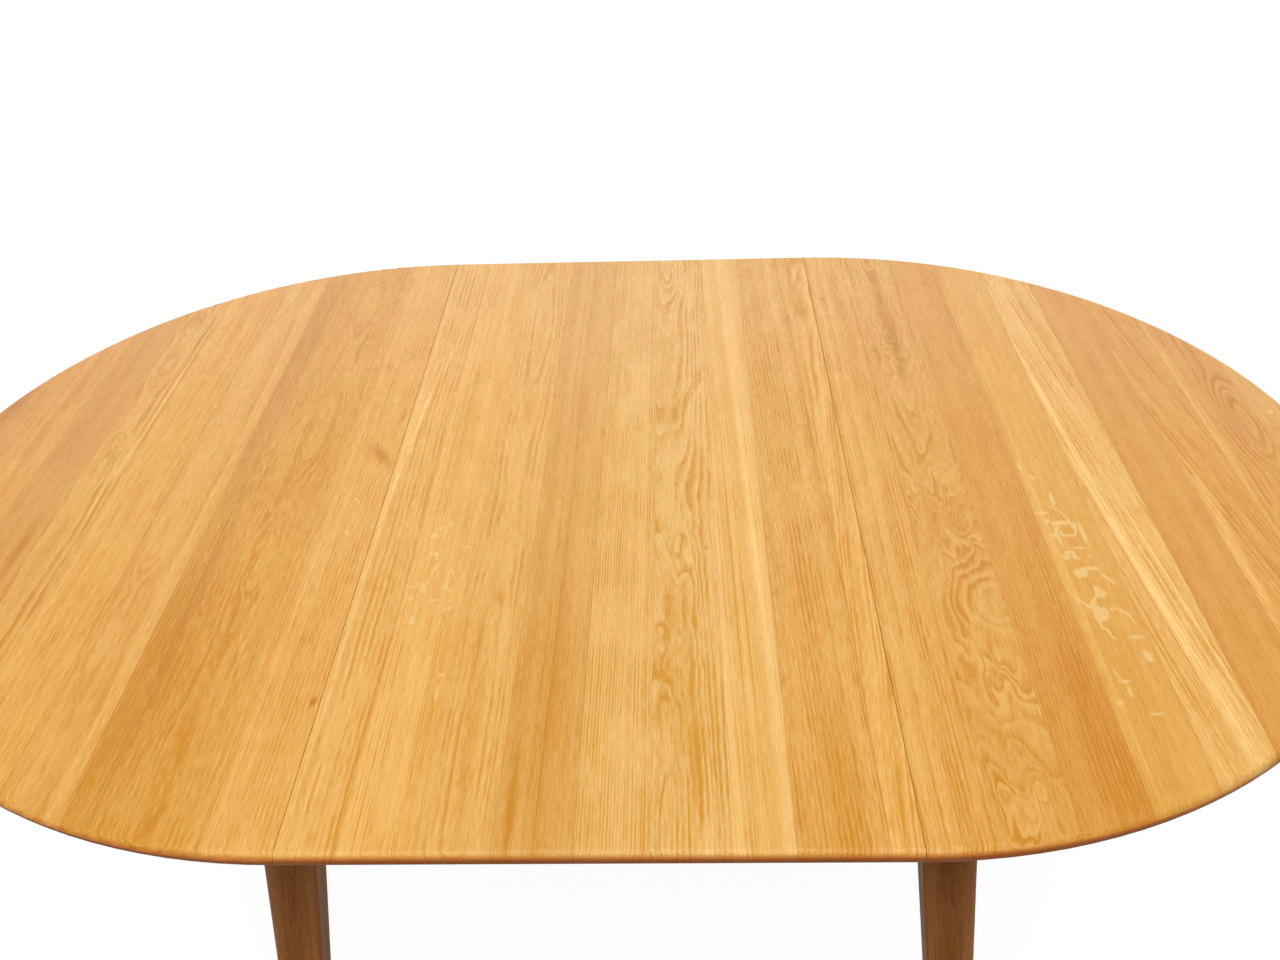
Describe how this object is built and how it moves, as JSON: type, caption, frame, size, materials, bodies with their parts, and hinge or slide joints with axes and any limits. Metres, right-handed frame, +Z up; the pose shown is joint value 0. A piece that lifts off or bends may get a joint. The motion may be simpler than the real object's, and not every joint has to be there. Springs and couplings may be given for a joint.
{
  "type": "draw leaf table",
  "caption": "Round oak dining table on splayed tapered legs; its half tops draw apart on runners and a loose leaf drops in between them.",
  "frame": {"origin": "on the floor, under the middle of the table", "axes": "+X along the drawn-out length, -Y towards the front, +Z up"},
  "size_m": [1.5504, 1.05, 0.74],
  "materials": {
    "oak_top": "oiled, satin",
    "oak_frame": "oiled, satin",
    "beech": "planed, waxed",
    "steel": "zinc plated",
    "glide_plastic": "moulded, matte"
  },
  "bodies": {
    "frame": {"leg_back_right": "oak_frame", "glide_back_right": "glide_plastic", "corner_block_back_right": "beech", "leg_back_left": "oak_frame", "glide_back_left": "glide_plastic", "corner_block_back_left": "beech", "leg_front_right": "oak_frame", "glide_front_right": "glide_plastic", "corner_block_front_right": "beech", "leg_front_left": "oak_frame", "glide_front_left": "glide_plastic", "corner_block_front_left": "beech", "apron_back": "oak_frame", "apron_front": "oak_frame", "apron_right": "oak_frame", "apron_left": "oak_frame", "guide_rail_back": "beech", "guide_rail_front": "beech", "centre_bearer": "beech", "guide_rail_screws": "steel", "apron_dowels": "beech", "hanger_bolts": "steel", "bolt_washers": "steel", "bolt_nuts": "steel", "corner_block_screws": "steel"},
    "half_left": {"half_top_left": "oak_top", "runner_left_back": "beech", "runner_left_front": "beech", "runner_tie_left": "beech", "runner_screws_left": "steel", "tie_screws_left": "steel", "seam_dowels_left": "beech", "stop_pins_left": "steel", "hook_pivots_left": "steel"},
    "half_right": {"half_top_right": "oak_top", "runner_right_back": "beech", "runner_right_front": "beech", "runner_tie_right": "beech", "runner_screws_right": "steel", "tie_screws_right": "steel", "seam_dowels_right": "beech", "stop_pins_right": "steel", "hook_pivots_right": "steel"},
    "leaf": {"leaf": "oak_top", "leaf_batten_back": "beech", "leaf_batten_front": "beech", "leaf_batten_screws": "steel", "leaf_studs": "steel"},
    "hook_back_right": {"seam_hook_back_right": "steel"},
    "hook_back_left": {"seam_hook_back_left": "steel"},
    "hook_front_right": {"seam_hook_front_right": "steel"},
    "hook_front_left": {"seam_hook_front_left": "steel"}
  },
  "joints": [
    {"name": "half_left_slide", "type": "slide", "parent": "frame", "child": "half_left", "axis": [-1, 0, 0], "range_m": [0, 0.02]},
    {"name": "half_right_slide", "type": "slide", "parent": "frame", "child": "half_right", "axis": [1, 0, 0], "range_m": [0, 0.02]},
    {"name": "leaf_lift", "type": "slide", "parent": "frame", "child": "leaf", "axis": [0, 0, 1], "range_m": [0, 0.25]},
    {"name": "hook_back_right_swing", "type": "hinge", "parent": "half_right", "child": "hook_back_right", "pos_m": [0.2683, 0.43, 0.7164], "axis": [0, 0, -1], "range_deg": [0, 90]},
    {"name": "hook_back_left_swing", "type": "hinge", "parent": "half_left", "child": "hook_back_left", "pos_m": [-0.2683, 0.43, 0.7164], "axis": [0, 0, 1], "range_deg": [0, 90]},
    {"name": "hook_front_right_swing", "type": "hinge", "parent": "half_right", "child": "hook_front_right", "pos_m": [0.2683, -0.43, 0.7164], "axis": [0, 0, 1], "range_deg": [0, 90]},
    {"name": "hook_front_left_swing", "type": "hinge", "parent": "half_left", "child": "hook_front_left", "pos_m": [-0.2683, -0.43, 0.7164], "axis": [0, 0, -1], "range_deg": [0, 90]}
  ]
}
